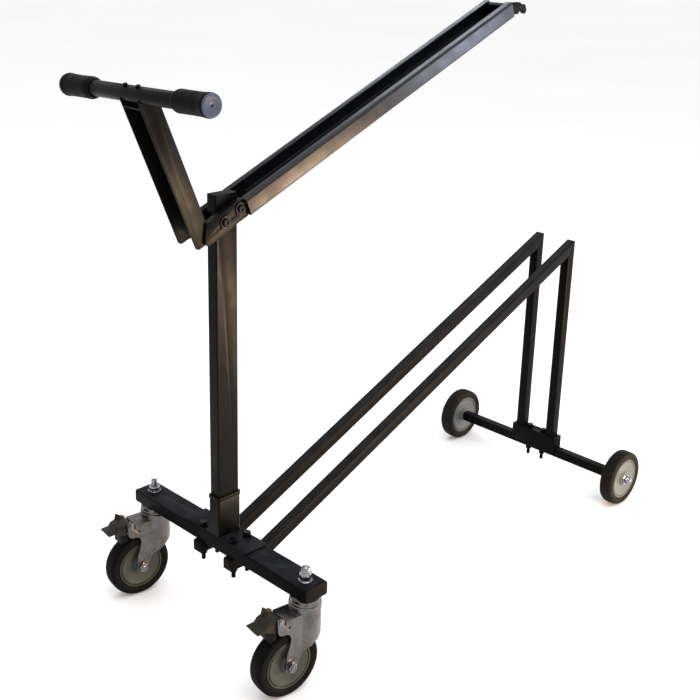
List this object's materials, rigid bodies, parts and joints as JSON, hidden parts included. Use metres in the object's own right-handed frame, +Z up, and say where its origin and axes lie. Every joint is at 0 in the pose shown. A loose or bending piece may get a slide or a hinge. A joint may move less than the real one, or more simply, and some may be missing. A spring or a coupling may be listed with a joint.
{
  "type": "wheeled stand trolley",
  "caption": "Wheeled trolley for moving a long stand or panel: cross beam on braked casters, column with push handle, sloping channel tray and lower rails to a rear wheel pair.",
  "frame": {"origin": "on the floor, under the middle of the object's footprint", "axes": "+X from the push handle towards the fixed rear wheels, +Y to the left side, +Z up"},
  "size_m": [1.2246, 0.5352, 1.1223],
  "materials": {
    "beam_coat": "satin black powder coat",
    "column_coat": "satin black powder coat",
    "rail_coat": "satin black powder coat, blue-grey sheen",
    "tube_coat": "satin black powder coat",
    "plastic_black": "matt black plastic",
    "bolt_black": "black oxide steel",
    "zinc": "bright zinc plate with a slight yellow cast",
    "chrome_nut": "polished chrome plate",
    "steel_bare": "turned steel",
    "pedal_bronze": "dark bronze zinc flake",
    "grip_rubber": "matt black rubber",
    "grip_cap": "glossy grey plastic",
    "rear_disc": "light grey moulded nylon",
    "caster_disc": "grey-green moulded nylon",
    "rear_tread": "brown-grey rubber",
    "caster_tread": "dark grey rubber",
    "bush_nylon": "natural nylon"
  },
  "bodies": {
    "chassis": {"front_beam": "beam_coat", "beam_caps": "plastic_black", "saddle_plate": "beam_coat", "column_socket": "column_coat", "socket_collar": "column_coat", "column": "column_coat", "column_cap": "plastic_black", "head_bracket": "column_coat", "head_spacers": "bolt_black", "head_bolts": "bolt_black", "upper_rail": "rail_coat", "rail_end_cap": "plastic_black", "rail_hook": "plastic_black", "handle_arm": "column_coat", "handle_bar": "column_coat", "grip_left": "grip_rubber", "grip_right": "grip_rubber", "grip_discs": "grip_cap", "handle_screws": "bolt_black", "lower_rail_left": "tube_coat", "lower_rail_right": "tube_coat", "foot_plugs": "plastic_black", "foot_bolts": "bolt_black", "leg_left": "tube_coat", "leg_right": "tube_coat", "leg_yoke": "tube_coat", "yoke_bolts": "bolt_black", "rear_beam": "tube_coat", "rear_axle": "steel_bare", "rear_axle_nuts": "chrome_nut", "stem_bolts": "steel_bare", "stem_nuts": "chrome_nut", "caster_races": "zinc"},
    "caster_left": {"fork_left": "zinc", "ball_ring_left": "steel_bare", "pedal_pin_left": "steel_bare", "caster_axle_left": "steel_bare"},
    "pedal_body_left": {"pedal_left": "pedal_bronze", "brake_shoe_left": "grip_rubber"},
    "caster_wheel_left": {"caster_rim_left": "caster_disc", "caster_tyre_left": "caster_tread", "caster_bush_left": "bush_nylon"},
    "rear_wheel_left": {"rear_rim_left": "rear_disc", "rear_tyre_left": "rear_tread", "rear_bush_left": "bush_nylon"},
    "caster_right": {"fork_right": "zinc", "ball_ring_right": "steel_bare", "pedal_pin_right": "steel_bare", "caster_axle_right": "steel_bare"},
    "pedal_body_right": {"pedal_right": "pedal_bronze", "brake_shoe_right": "grip_rubber"},
    "caster_wheel_right": {"caster_rim_right": "caster_disc", "caster_tyre_right": "caster_tread", "caster_bush_right": "bush_nylon"},
    "rear_wheel_right": {"rear_rim_right": "rear_disc", "rear_tyre_right": "rear_tread", "rear_bush_right": "bush_nylon"}
  },
  "joints": [
    {"name": "caster_left_swivel", "type": "hinge", "parent": "chassis", "child": "caster_left", "pos_m": [-0.42624, 0.2135, 0.167], "axis": [0, 0, 1], "continuous": true},
    {"name": "caster_left_wheel_spin", "type": "hinge", "parent": "caster_left", "child": "caster_wheel_left", "pos_m": [-0.46833, 0.21941, 0.0625], "axis": [0.1392, 0.9903, 0], "continuous": true},
    {"name": "pedal_left_press", "type": "hinge", "parent": "caster_left", "child": "pedal_body_left", "pos_m": [-0.48912, 0.22234, 0.157], "axis": [-0.1392, -0.9903, 0], "range_deg": [0, 9]},
    {"name": "rear_wheel_left_spin", "type": "hinge", "parent": "chassis", "child": "rear_wheel_left", "pos_m": [0.54976, 0.236, 0.0625], "axis": [0, 1, 0], "continuous": true},
    {"name": "caster_right_swivel", "type": "hinge", "parent": "chassis", "child": "caster_right", "pos_m": [-0.42624, -0.2135, 0.167], "axis": [0, 0, 1], "continuous": true},
    {"name": "caster_right_wheel_spin", "type": "hinge", "parent": "caster_right", "child": "caster_wheel_right", "pos_m": [-0.46833, -0.20758, 0.0625], "axis": [0.1392, 0.9903, 0], "continuous": true},
    {"name": "pedal_right_press", "type": "hinge", "parent": "caster_right", "child": "pedal_body_right", "pos_m": [-0.48912, -0.20466, 0.157], "axis": [-0.1392, -0.9903, 0], "range_deg": [0, 9]},
    {"name": "rear_wheel_right_spin", "type": "hinge", "parent": "chassis", "child": "rear_wheel_right", "pos_m": [0.54976, -0.236, 0.0625], "axis": [0, 1, 0], "continuous": true}
  ]
}
